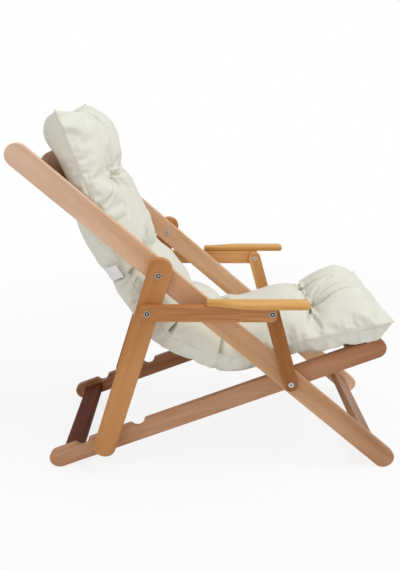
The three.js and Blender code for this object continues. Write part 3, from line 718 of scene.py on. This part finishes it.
# Five rows of two tufts, from head to knees
TUFT_ACROSS = 0.090
TUFTS_Y = (-TUFT_ACROSS, TUFT_ACROSS)
TUFT_ROWS = [
    row_at(along(MAIN, BACK_ANGLE, 0.728, -0.081), 0.85),
    row_at(along(MAIN, BACK_ANGLE, 0.524, 0.066)),
    row_at(along(MAIN, BACK_ANGLE, 0.341, 0.127)),
    row_at(along(MAIN, SEAT_ANGLE, -0.161, 0.128)),
    row_at(along(MAIN, SEAT_ANGLE, 0.121, 0.100), 0.85),
]
ROW_DIPS = (0.10, 0.09, 0.07, 0.05, 0.08)
VALLEY_REACH, TUFT_REACH, TUFT_DIP, DEEPEST_DIP = 0.030, 0.034, 0.32, 0.6
END_DRAW, END_REACH, KNEE_DRAW = 0.017, 0.085, -0.3
CORNER_PINCH, CORNER_REACH = 0.30, 0.034
EDGE_CROWD = 0.94  # how closely the grid's lines crowd to the seam, 1 at most
PAD_END = REACH[-1]


def broad_dip(s, y, half):
    """The share of the swell that the tufts and the valleys between them take."""
    edge = np.clip(np.abs(y) / half, 0, 1)
    dip = 0.0
    for row, valley in zip(TUFT_ROWS, ROW_DIPS):
        dip = dip + valley * np.exp(-(((s - row) / VALLEY_REACH) ** 2)) * np.cos(0.5 * np.pi * edge) ** 0.5
        for spot in TUFTS_Y:
            r = np.hypot(s - row, (y - spot) * 0.8)
            dip = dip + TUFT_DIP * np.exp(-((r / TUFT_REACH) ** 1.4))
    return np.clip(dip, 0, DEEPEST_DIP)


def pad_grid():
    """Places of the upper and the lower sheet, as two grids from head to knees and from right to left."""
    way = downhill()
    quarters = np.linspace(-np.pi / 2, np.pi / 2, ACROSS_COUNT)
    spread = np.sin(quarters * EDGE_CROWD) / math.sin(np.pi / 2 * EDGE_CROWD)
    x, z, half, above, below, flatness = (column[:, None] for column in ROWS.T)
    y = spread[None, :] * half
    s = REACH[:, None] + 0 * y
    edge = np.clip(np.abs(spread)[None, :], 0, 1)
    crown = (1 - edge**CROWN_POWER) ** CROWN_SHARE
    base = (1 - edge**BASE_POWER) ** (BASE_SHARE * (1 - np.clip(flatness, 0, 1)))
    base = np.where(edge > 0.9999, 0, base)
    dip = broad_dip(s, y, half)
    # The four corners are pinched to a point, and the two ends are drawn in between them
    from_end = np.minimum(s, PAD_END - s)
    pinch = 1 - CORNER_PINCH * np.exp(-((np.hypot(from_end, half - np.abs(y)) / CORNER_REACH) ** 2))
    which_end = np.where(s < PAD_END / 2, 1, KNEE_DRAW)
    drawn = END_DRAW * (1 - edge**2.0) * np.exp(-((from_end / END_REACH) ** 2)) * which_end
    x = x + way[:, :1] * drawn
    z = z + way[:, 1:] * drawn
    sheets = []
    for lift in (above * crown * (1 - dip) * pinch, -below * base * (1 - 0.3 * dip) * pinch):
        sheets.append(np.stack([x - way[:, 1:] * lift, y, z + way[:, :1] * lift], -1))
    return sheets, s, y


def pad_mesh():
    """The two sheets joined at their edges as one closed mesh, with a map in metres and marks of place."""
    (upper, lower), s, y = pad_grid()
    rim = np.zeros((ALONG_COUNT, ACROSS_COUNT), bool)
    rim[[0, -1], :] = rim[:, [0, -1]] = True
    top = np.arange(rim.size).reshape(rim.shape)
    bottom = top.copy()
    bottom[~rim] = rim.size + np.arange((~rim).sum())
    points = np.vstack([upper.reshape(-1, 3), lower[~rim]])
    places = np.vstack([
        np.stack([s.ravel(), y.ravel(), np.where(rim.ravel(), 0.0, 1.0)], 1),
        np.stack([s[~rim], y[~rim], -np.ones((~rim).sum())], 1),
    ])
    corners = lambda g: [g[:-1, :-1], g[1:, :-1], g[1:, 1:], g[:-1, 1:]]
    upward = np.stack([c.ravel() for c in corners(top)], 1)
    downward = np.stack([c.ravel() for c in reversed(corners(bottom))], 1)
    mesh = bpy.data.meshes.new("pad")
    mesh.from_pydata(points.tolist(), [], np.vstack([upward, downward]).tolist())
    marks = mesh.attributes.new("place", "FLOAT_VECTOR", "POINT")
    marks.data.foreach_set("vector", places.astype(np.float32).ravel())
    layer = mesh.uv_layers.new(name="cloth")
    vertex = np.zeros(len(mesh.loops), np.int32)
    mesh.loops.foreach_get("vertex_index", vertex)
    below = np.arange(len(vertex)) >= upward.size
    maps = places[vertex][:, :2] + np.stack([0 * below, 0.6 * below], 1)
    layer.data.foreach_set("uv", maps.astype(np.float32).ravel())
    ring = [*top[:, 0], *top[-1, 1:], *top[-2::-1, -1], *top[0, -2:0:-1]]
    held = set(ring)
    for row in TUFT_ROWS:
        i = int(np.argmin(np.abs(REACH - row)))
        for spot in TUFTS_Y:
            j = int(np.argmin(np.abs(y[i] - spot)))
            held.add(top[i, j])
            held.add(bottom[i, j])
    return mesh, [int(i) for i in ring], sorted(int(i) for i in held), (top, bottom)


pad_data, seam_ring, held_points, sheets = pad_mesh()
pad = bpy.data.objects.new("pad", pad_data)
bpy.context.scene.collection.objects.link(pad)


def positions(piece):
    """The places of a mesh's points, as rows of an array."""
    co = np.zeros(3 * len(piece.data.vertices), np.float32)
    piece.data.vertices.foreach_get("co", co)
    return co.reshape(-1, 3).astype(float)


def set_positions(piece, co):
    piece.data.vertices.foreach_set("co", co.astype(np.float32).ravel())
    piece.data.update()


def blurred(grid, reach):
    """A grid of moves, averaged over a window both ways."""
    for axis in (0, 1):
        pads = [(reach, reach) if k == axis else (0, 0) for k in range(3)]
        total = np.cumsum(np.pad(grid, pads, mode="edge"), axis=axis)
        total = np.insert(total, 0, 0, axis=axis)
        n = grid.shape[axis]
        take = lambda start: np.take(total, np.arange(start, start + n), axis=axis)
        grid = (take(2 * reach + 1) - take(0)) / (2 * reach + 1)
    return grid


FILL_STEPS, BROAD_REACH = 22, 6  # frames of filling, and the window for broad moves


def puff(piece, held, wrinkle=0.006, swell=0.004):
    """Fills the pad as cloth under pressure, held at its seam and tufts, and keeps the wrinkles in the mesh."""
    group = piece.vertex_groups.new(name="held")
    group.add(held, 1.0, "REPLACE")
    cloth = piece.modifiers.new("fill", "CLOTH")
    settings = cloth.settings
    settings.quality = 5
    settings.mass = 0.25
    settings.tension_stiffness = settings.compression_stiffness = 12
    settings.shear_stiffness = 6
    settings.bending_stiffness = 0.25
    settings.use_pressure = True
    settings.uniform_pressure_force = 3.0
    settings.shrink_min = settings.shrink_max = -0.07
    settings.vertex_group_mass = "held"
    settings.effector_weights.gravity = 0
    cloth.collision_settings.use_collision = False
    rest = positions(piece)
    scene = bpy.context.scene
    for step in range(1, FILL_STEPS + 1):
        scene.frame_set(step)
    seen = piece.evaluated_get(bpy.context.evaluated_depsgraph_get())
    moved = positions(seen) - rest
    piece.modifiers.remove(cloth)
    piece.vertex_groups.clear()
    scene.frame_set(1)

    def capped(move, limit):
        return move * np.minimum(1, limit / np.maximum(np.linalg.norm(move, axis=-1), 1e-9))[..., None]

    kept = np.zeros_like(moved)
    for grid in sheets:
        broad = blurred(moved[grid], BROAD_REACH)
        kept[grid] = capped(moved[grid] - broad, wrinkle) + capped(broad, swell)
    set_positions(piece, rest + kept)


RAIL_CLEAR, SEAT_CLEAR, RAIL_MARGIN = 0.0006, 0.0008, 0.004
RAIL_FROM, RAIL_TO = -0.41, 0.96  # the stretch of the back rails, from the main pivot
BAR_HALF, BAR_FACE = 0.034, 0.0108  # half the head bar's width and its face, each with room


def rest_on_frame(co):
    """Keeps the pad clear of the rails beside it and of the boards that it lies on."""
    inner = min(abs(v.y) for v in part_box("back_rail_left")) - RAIL_CLEAR
    off = co - np.array(MAIN)
    back_dir = np.array((math.cos(BACK_ANGLE), 0, math.sin(BACK_ANGLE)))
    back_up = np.array((-back_dir[2], 0, back_dir[0]))
    seat_up = np.array((-math.sin(SEAT_ANGLE), 0, math.cos(SEAT_ANGLE)))
    reach, behind = off @ back_dir, off @ back_up
    between = (np.abs(behind) < BACK_WIDTH / 2 + RAIL_MARGIN) & (reach > RAIL_FROM) & (reach < RAIL_TO)
    co[between, 1] = np.clip(co[between, 1], -inner, inner)
    over_bar = (np.abs(reach - HEAD_BAR - HEAD_ARCH / 2) < BAR_HALF + HEAD_ARCH / 2) & (behind > -BAR_FACE)
    co[over_bar] -= (behind[over_bar] + BAR_FACE)[:, None] * back_up
    up = (co - np.array(MAIN)) @ seat_up
    rail_top = SEAT_WIDTH / 2 - SEAT_DROP + SEAT_CLEAR
    low_points = up < rail_top
    co[low_points] += (rail_top - up[low_points])[:, None] * seat_up
    return co


HEAD_TUFT, WAIST_TUFT, HIP_TUFT, SAG_TUFT, KNEE_TUFT = TUFT_ROWS
FINE, THIN, PLAIN, WIDE, BROAD = 0.004, 0.0046, 0.0053, 0.0059, 0.0066  # half widths of folds
# Folds from a tuft: its row, then bend and end as steps along the pad and shares of its place across, depth and width
TUFT_FOLDS = (
    (HEAD_TUFT, 0.012, 0.4, 0.016, 0.0, 0.010, PLAIN),
    (HEAD_TUFT, 0.030, 0.6, 0.060, 0.3, 0.007, FINE),
    (HEAD_TUFT, 0.060, 1.4, 0.120, 1.6, 0.008, THIN),
    (HEAD_TUFT, 0.060, 1.1, 0.130, 1.05, 0.009, PLAIN),
    (HEAD_TUFT, 0.040, 1.8, 0.060, 2.1, 0.006, FINE),
    (WAIST_TUFT, -0.030, 0.8, -0.075, 0.9, 0.009, THIN),
    (WAIST_TUFT, -0.020, 1.3, -0.055, 1.5, 0.009, THIN),
    (WAIST_TUFT, 0.006, 1.5, -0.006, 2.1, 0.010, WIDE),
    (WAIST_TUFT, 0.030, 0.9, 0.070, 1.1, 0.009, THIN),
    (KNEE_TUFT, 0.045, 0.60, 0.150, 0.75, 0.014, PLAIN),
    (KNEE_TUFT, 0.010, 0.45, 0.090, 0.05, 0.012, PLAIN),
    (KNEE_TUFT, 0.060, 1.15, PAD_END - 0.030 - KNEE_TUFT, 0.95, 0.010, BROAD),
    (KNEE_TUFT, -0.014, 0.5, 0.012, -0.3, 0.010, FINE),
    (KNEE_TUFT, -0.030, 0.7, -0.060, 0.3, 0.008, FINE),
    (KNEE_TUFT, -0.006, 1.5, 0.010, 2.1, 0.011, THIN),
    (KNEE_TUFT, -0.022, 1.5, -0.030, 2.0, 0.009, THIN),
)
# Folds from the seam: a row, then start, bend and end as steps along the pad and places across, depth, width and sheet
SEAM_FOLDS = (
    (HIP_TUFT, 0.0, 0.205, 0.006, 0.17, -0.004, 0.12, 0.014, PLAIN, 1),
    (HIP_TUFT, 0.0, 0.205, 0.004, 0.18, 0.004, 0.13, 0.003, WIDE, -1),
    (SAG_TUFT, 0.0, 0.205, -0.006, 0.17, 0.002, 0.12, 0.014, PLAIN, 1),
    (SAG_TUFT, 0.0, 0.205, 0.002, 0.18, 0.0, 0.13, 0.004, PLAIN, -1),
    (WAIST_TUFT, 0.0, 0.205, -0.008, 0.17, 0.0, 0.12, 0.013, PLAIN, 1),
    (WAIST_TUFT, 0.016, 0.209, 0.0, 0.19, -0.030, 0.16, 0.009, THIN, 1),
    (WAIST_TUFT, 0.0, 0.205, 0.004, 0.17, 0.0, 0.10, 0.010, WIDE, -1),
)
# All folds: start, bend and end as reach along the pad and place across it, then depth, half width and sheet
PULLS = []
for _, side in SIDES:
    near = side * TUFT_ACROSS
    PULLS += [
        ((0.002, near * 0.35), (0.060, near * 0.95), (HEAD_TUFT, near), 0.013, BROAD, 1),
        ((0.030, near * 0.45), (0.100, near * 0.70), (HEAD_TUFT - 0.03, near * 0.95), 0.006, THIN, 1),
    ]
    for row, bend, bend_y, end, end_y, depth, width in TUFT_FOLDS:
        PULLS.append(((row, near), (row + bend, near * bend_y), (row + end, near * end_y), depth, width, 1))
    for row, start, y0, bend, y1, end, y2, depth, width, sheet in SEAM_FOLDS:
        line = ((row + start, side * y0), (row + bend, side * y1), (row + end, side * y2))
        PULLS.append((*line, depth, width, sheet))


FOLD_STEPS, FAR = 30, 9.0


def fold(s, y, start, bend, end, width):
    """A valley along a curve: 1 in its bottom, a little below 0 on the ridges beside it."""
    t = np.linspace(0, 1, FOLD_STEPS)[:, None]
    line = (1 - t) ** 2 * np.array(start) + 2 * t * (1 - t) * np.array(bend) + t**2 * np.array(end)
    low, high = line.min(0) - 5 * width, line.max(0) + 5 * width
    close = np.flatnonzero((s > low[0]) & (s < high[0]) & (y > low[1]) & (y < high[1]))
    gap = np.full(close.size, FAR)
    where = np.zeros(close.size)
    for (a, b), u in zip(line, t[:, 0]):
        r = np.hypot(s[close] - a, y[close] - b)
        where = np.where(r < gap, u, where)
        gap = np.minimum(gap, r)
    r = gap / width
    valley = np.zeros(s.shape)
    valley[close] = (np.exp(-(r**1.4)) - 0.30 * np.exp(-(((r - 2.1) / 0.9) ** 2))) * (1 - 0.7 * where**2)
    return valley


# The first is the fold depth that gets full painted shade, the last the painted shade in the sewn pits.
FULL_SHADE_DEPTH, PIT_RADIUS, PIT_DEPTH, UNDER_PIT_DEPTH, PIT_SHADE = 0.013, 0.009, 0.006, 0.003, 0.8
PLEAT_RADIUS, PLEAT_WIDTH, PLEAT_HEIGHT = 0.026, 0.020, 0.0034
PUCKER_HEIGHT, PUCKER_REACH = 0.0016, 0.016


def fine_form(piece):
    """Sewn pits, pleats round them, pull folds and puckers along the seam, pressed into the finer mesh, with a mark of
    painted shade in the folds and pits.
    """
    co = positions(piece)
    place = np.zeros(co.size, np.float32)
    piece.data.attributes["place"].data.foreach_get("vector", place)
    s, y, sheet = place.reshape(-1, 3).astype(float).T
    normals = np.zeros(co.size, np.float32)
    piece.data.vertices.foreach_get("normal", normals)
    press, painted_shade = np.zeros(len(co)), np.zeros(len(co))
    for start, bend, end, depth, width, wanted in PULLS:
        valley = fold(s, y, start, bend, end, width) * np.clip(sheet * wanted, 0, 1)
        press += depth * valley
        painted_shade = np.maximum(painted_shade, valley * min(1, depth / FULL_SHADE_DEPTH))
    for number, row in enumerate(TUFT_ROWS):
        for spot in TUFTS_Y:
            ds, dy = s - row, y - spot
            r, turn = np.hypot(ds, dy), np.arctan2(dy, ds)
            ring = np.exp(-(((r - PLEAT_RADIUS) / PLEAT_WIDTH) ** 2))
            pleat = np.cos((6 + number % 2) * turn + 1.7 * number) * ring
            pit = np.exp(-((r / PIT_RADIUS) ** 2))
            press += np.where(sheet > 0, PIT_DEPTH, UNDER_PIT_DEPTH) * pit + PLEAT_HEIGHT * pleat
            painted_shade = np.maximum(painted_shade, PIT_SHADE * pit)
    half = np.interp(s, REACH, ROWS[:, 2])
    from_seam = np.clip(half - np.abs(y), 0, None)
    wave = np.sin(s * 210 + 3 * np.sin(s * 37)) * np.sin(s * 61 + 1.0)
    press += PUCKER_HEIGHT * wave * np.exp(-from_seam / PUCKER_REACH) * (from_seam > 0.001)
    set_positions(piece, co - press[:, None] * normals.reshape(-1, 3))
    # This mark darkens the cloth in folds and pits: painted shade.
    mark = piece.data.attributes.new("crease", "FLOAT", "POINT")
    mark.data.foreach_set("value", np.clip(painted_shade, 0, 1).astype(np.float32))


puff(pad, held_points)
set_positions(pad, rest_on_frame(positions(pad)))
finer = pad.modifiers.new("finer", "SUBSURF")
finer.levels = finer.render_levels = 2
apply_all(pad)
fine_form(pad)
set_positions(pad, rest_on_frame(positions(pad)))
seam_line = positions(pad)[seam_ring]
choose(pad)
face_outwards()
bpy.ops.object.shade_smooth()


def threads(lines, radius, resolution, closed):
    """Round threads along lines, as one mesh with a map."""
    bpy.ops.curve.primitive_bezier_circle_add(radius=0.1)
    piece = bpy.context.object
    piece.data.splines.clear()
    for spots in lines:
        line = piece.data.splines.new("POLY")
        line.points.add(len(spots) - 1)
        for mark, spot in zip(line.points, spots):
            mark.co = (*spot, 1)
        line.use_cyclic_u = closed
    piece.data.bevel_depth, piece.data.bevel_resolution = radius, resolution
    piece.data.use_fill_caps = not closed
    choose(piece)
    bpy.ops.object.convert(target="MESH")
    if "cloth" not in piece.data.uv_layers:
        piece.data.uv_layers.new(name="cloth")
    bpy.ops.object.shade_smooth()
    return piece


SEAM_RADIUS, STITCH_RADIUS, STITCH_HALF, STITCH_LIFT, STITCH_BEND = 0.0013, 0.0007, 0.0048, 0.0016, 0.0022


def stitch_lines():
    """Two short crossing threads over the cloth in each tuft, above and below."""
    marks = np.zeros(3 * len(pad.data.vertices), np.float32)
    pad.data.attributes["place"].data.foreach_get("vector", marks)
    marks, spots = marks.reshape(-1, 3), positions(pad)
    lines = []
    for row in TUFT_ROWS:
        for y in TUFTS_Y:
            for sheet in (1, -1):
                off = np.hypot(marks[:, 0] - row, marks[:, 1] - y) + FAR * (marks[:, 2] * sheet < 0.5)
                nearest = np.argsort(off)[:6]
                centre = spots[nearest].mean(0)
                normal = np.array([pad.data.vertices[int(i)].normal for i in nearest]).mean(0)
                normal /= np.linalg.norm(normal)
                for lean in (-0.5, 0.6):
                    way = np.array((lean * 0.004, STITCH_HALF, lean * -0.002))
                    lines.append([
                        centre + way * t + normal * (STITCH_LIFT - STITCH_BEND * t * t) for t in np.linspace(-1, 1, 5)
                    ])
    return lines


seam = threads([seam_line], SEAM_RADIUS, 2, True)
tacks = threads(stitch_lines(), STITCH_RADIUS, 1, False)

# Blank care tag, lying on the pad's side
TAG_WIDTH, TAG_LENGTH, TAG_TURN = 0.038, 0.041, math.radians(-64)
TAG_CORNER = Vector((MAIN.x - 0.496, 0, 0.601))
TAG_CUTS, TAG_THICK, TAG_LIFT, TAG_SLOPE = 12, 0.0004, 0.0012, 0.02
pad_surface = BVHTree.FromPolygons(
    [tuple(v) for v in positions(pad)], [tuple(f.vertices) for f in pad.data.polygons]
)
bpy.ops.mesh.primitive_grid_add(x_subdivisions=TAG_CUTS, y_subdivisions=TAG_CUTS, size=1)
tag = bpy.context.object
tag_map = tag.data.uv_layers[0]
tag_map.name = "cloth"
shares = positions(tag)[:, :2] + 0.5
spots = [along(TAG_CORNER, TAG_TURN, u * TAG_LENGTH, v * TAG_WIDTH) for u, v in shares]
near_y = []
for spot in spots:
    hit = pad_surface.ray_cast(Vector((spot.x, -0.6, spot.z)), Vector((0, 1, 0)))[0]
    near_y.append(hit.y if hit else pad_surface.find_nearest(Vector((spot.x, -0.2, spot.z)))[0].y)
# Stiffer than the pad, the tag bridges its wrinkles: a level sheet over the pad's own slope
near_y = np.array(near_y)
level_of = np.column_stack([np.ones(len(shares)), shares])
fitted = np.linalg.lstsq(level_of, near_y, rcond=None)[0]
lie = level_of @ np.clip(fitted, (-1, -TAG_SLOPE, -TAG_SLOPE), (0, TAG_SLOPE, TAG_SLOPE))
lie += (near_y - lie).min() - TAG_LIFT
for vertex, spot, y in zip(tag.data.vertices, spots, lie):
    vertex.co = (spot.x, y, spot.z)
for loop in tag_map.data:
    loop.uv = (loop.uv[0] * TAG_LENGTH, loop.uv[1] * TAG_WIDTH)
hem = tag.modifiers.new("thick", "SOLIDIFY")
hem.thickness, hem.offset = TAG_THICK, 0
apply_all(tag)
bpy.ops.object.shade_smooth_by_angle(angle=math.radians(50))
dress(tag, "care_tag", tag_cloth, "back_frame", "cushion_fabric")

# Names and finishes of the pad, its seam and its stitches
for piece, name, finish in (
    (pad, "long_pad", pad_cloth), (seam, "pad_seam", seam_cloth), (tacks, "tuft_stitches", seam_cloth)
):
    piece.name = piece.data.name = name
    coat(piece, finish)
    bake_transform(piece)
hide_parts("cushion_back", "cushion_seat")

# ---- Floor, light and camera ----
bpy.ops.mesh.primitive_plane_add(size=30)
floor = bpy.context.object
floor.name = "floor"
ground = Finish("pale_floor")
ground.join(tone(244, 244, 244), "Base Color")
ground.join(0.9, "Roughness")
glow = ground.add("ShaderNodeEmission", {"Color": (1, 1, 1, 1), "Strength": 1.0})
floor_rays = ground.add("ShaderNodeLightPath").outputs
seen = ground.add(
    "ShaderNodeMath", {0: floor_rays["Is Camera Ray"], 1: floor_rays["Is Glossy Ray"]}, operation="MAXIMUM"
).outputs[0]
off = ground.add(
    "ShaderNodeVectorMath", {0: ground.add("ShaderNodeTexCoord").outputs["Object"]}, operation="LENGTH"
).outputs["Value"]
whiter = ground.add(
    "ShaderNodeMapRange",
    {"Value": off, "From Min": 0.8, "From Max": 2.6, "To Min": 0.84, "To Max": 1.0},
    interpolation_type="SMOOTHSTEP",
).outputs[0]
share = ground.add("ShaderNodeMath", {0: seen, 1: whiter}, operation="MULTIPLY").outputs[0]
blend = ground.add("ShaderNodeMixShader", {0: share, 1: ground.surface.outputs[0], 2: glow.outputs[0]})
ground.feed(blend.outputs[0], ground.output.inputs[0])
floor.data.materials.append(ground.material)

world = bpy.data.worlds.new("studio")
bpy.context.scene.world = world
world.use_nodes = True
sky = world.node_tree
back_light = sky.nodes["Background"]
back_light.inputs["Color"].default_value = (1, 1, 1, 1)
rays = sky.nodes.new("ShaderNodeLightPath")
level = sky.nodes.new("ShaderNodeMix")
level.inputs[2].default_value, level.inputs[3].default_value = 0.58, 1.0
either = sky.nodes.new("ShaderNodeMath")
either.operation = "MAXIMUM"
sky.links.new(rays.outputs["Is Camera Ray"], either.inputs[0])
sky.links.new(rays.outputs["Is Glossy Ray"], either.inputs[1])
sky.links.new(either.outputs[0], level.inputs[0])
sky.links.new(level.outputs[0], back_light.inputs["Strength"])


def softbox(name, spot, aim, size, power):
    lamp = bpy.data.lights.new(name, "AREA")
    lamp.size, lamp.energy = size, power
    thing = bpy.data.objects.new(name, lamp)
    thing.location = spot
    thing.rotation_euler = (Vector(aim) - Vector(spot)).to_track_quat("-Z", "Y").to_euler()
    bpy.context.scene.collection.objects.link(thing)


softbox("key", (1.3, -0.6, 3.3), (0, 0, 0.45), 1.5, 44)
softbox("fill", (-1.8, -2.6, 2.0), (0, 0, 0.45), 1.8, 12)

# The camera, solved from the photograph
YAW, PITCH, ROLL = -0.0009338684, 0.322312052, -0.0136405626
FOCAL_PIXELS, TALL, SENSOR = 609.2662, 570.0, 36.0
CAMERA_SPOT = (-0.2423241 + MAIN.x, -1.7419429, 1.0661465)
cy, sy, cp, sp = math.cos(YAW), math.sin(YAW), math.cos(PITCH), math.sin(PITCH)
ahead = Vector((sy * cp, cy * cp, -sp))
right = Vector((cy, -sy, 0))
up = right.cross(ahead)
cr, sr = math.cos(ROLL), math.sin(ROLL)
right, up = cr * right + sr * up, -sr * right + cr * up
lens = bpy.data.cameras.new("view")
lens.sensor_width = SENSOR
lens.lens = SENSOR * FOCAL_PIXELS / TALL
lens.clip_end = 100
camera = bpy.data.objects.new("view", lens)
turned = Matrix((right, up, -ahead)).transposed().to_4x4()
camera.matrix_world = Matrix.Translation(CAMERA_SPOT) @ turned
bpy.context.scene.collection.objects.link(camera)
bpy.context.scene.camera = camera
bpy.context.scene.view_settings.view_transform = "Standard"
